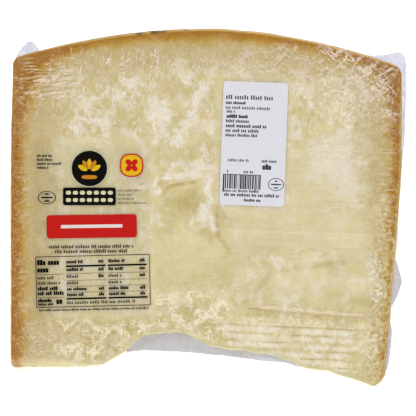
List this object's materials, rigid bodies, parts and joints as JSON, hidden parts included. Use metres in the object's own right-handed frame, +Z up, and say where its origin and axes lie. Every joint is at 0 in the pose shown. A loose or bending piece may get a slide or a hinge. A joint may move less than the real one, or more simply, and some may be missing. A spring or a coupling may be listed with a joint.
{
  "type": "vacuum-packed hard cheese wedge",
  "caption": "Large wedge of hard grating cheese in clear vacuum film, with rind on its outer sides, a broken tip, a clear printed label and a white weight sticker.",
  "frame": {"origin": "centre of the pack's footprint, on the surface that it rests on", "axes": "+X along the cheese wheel's own axis, to the right of the shown cut face; +Y from the broken tip edge to the rind band; +Z up, out of the cut face that it rests on"},
  "size_m": [0.2416, 0.2166, 0.1539],
  "materials": {
    "cheese": "pale straw, craggy hard cheese with an ochre rind",
    "clear_film": "tight, glossy, creased clear vacuum film",
    "clear_label": "clear film label printed in black, red, amber and white, the cheese showing through",
    "white_label": "semi-matt white thermal sticker with grey print"
  },
  "bodies": {
    "root": {"sealed_pack": "cheese", "print_label": "clear_label", "weight_label": "white_label"}
  },
  "joints": []
}
